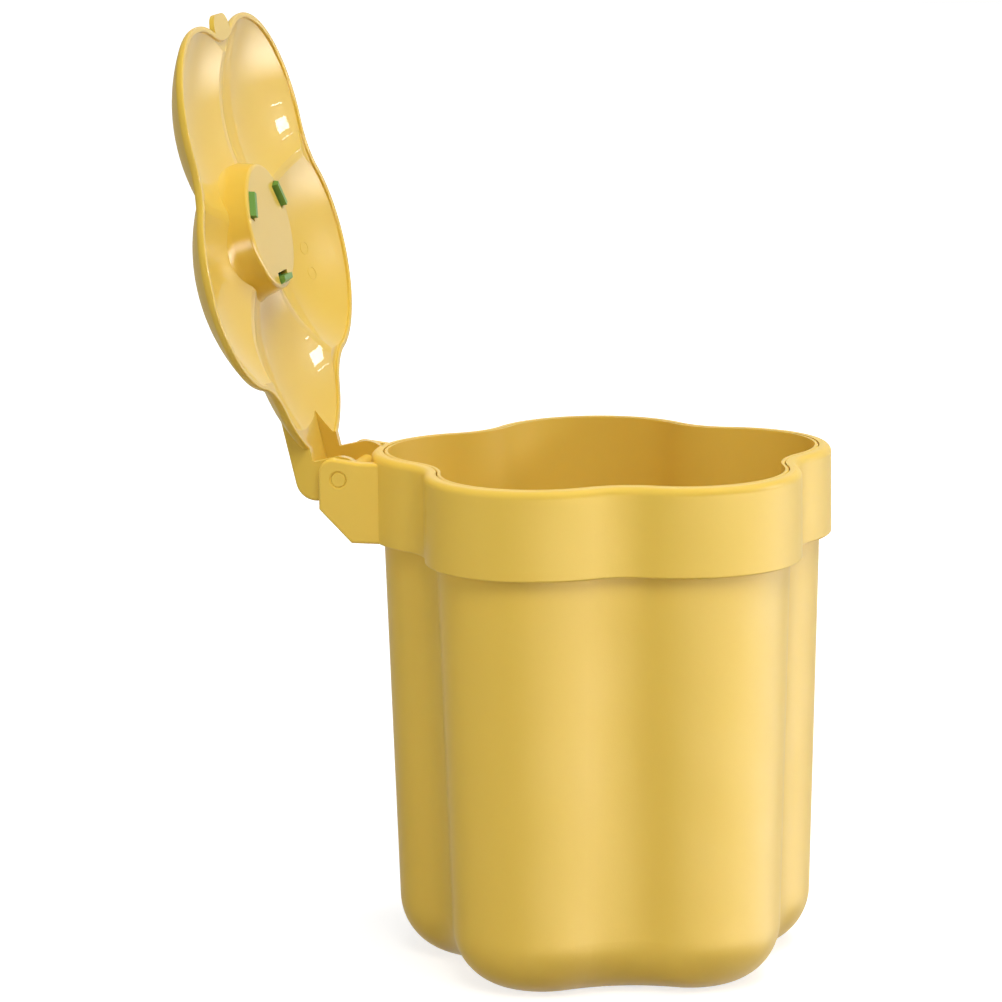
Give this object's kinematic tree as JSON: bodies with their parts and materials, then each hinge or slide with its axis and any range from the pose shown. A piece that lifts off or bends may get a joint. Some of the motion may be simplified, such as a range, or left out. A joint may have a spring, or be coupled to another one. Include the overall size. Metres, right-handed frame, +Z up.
{
  "type": "desk wastebasket",
  "caption": "Flower-shaped plastic desk wastebasket with a lift-off top ring and a petalled lid on a rear hinge that swings back to a stop.",
  "frame": {"origin": "centre of the base, on the surface the bin stands on", "axes": "+Z up, +Y towards the hinge at the back, -Y towards the finger tab at the front, +X across"},
  "size_m": [0.14, 0.1891, 0.2872],
  "materials": {
    "bin_plastic": "satin pale yellow moulding, fine-grained outside",
    "ring_plastic": "satin pale yellow moulding, fine-grained outside",
    "lid_plastic": "pale yellow moulding, glossier on the underside",
    "centre_plastic": "leaf green moulding",
    "pin_plastic": "pale yellow moulding"
  },
  "bodies": {
    "bin": {"bin_body": "bin_plastic"},
    "ring": {"top_ring": "ring_plastic"},
    "lid": {"lid": "lid_plastic", "flower_centre": "centre_plastic", "hinge_pin": "pin_plastic"}
  },
  "joints": [
    {"name": "ring_lift", "type": "slide", "parent": "bin", "child": "ring", "axis": [0, 0, 1], "range_m": [0, 0.03]},
    {"name": "lid_hinge", "type": "hinge", "parent": "ring", "child": "lid", "pos_m": [0, 0.0782, 0.1485], "axis": [1, 0, 0], "range_deg": [0, 103.4]}
  ]
}
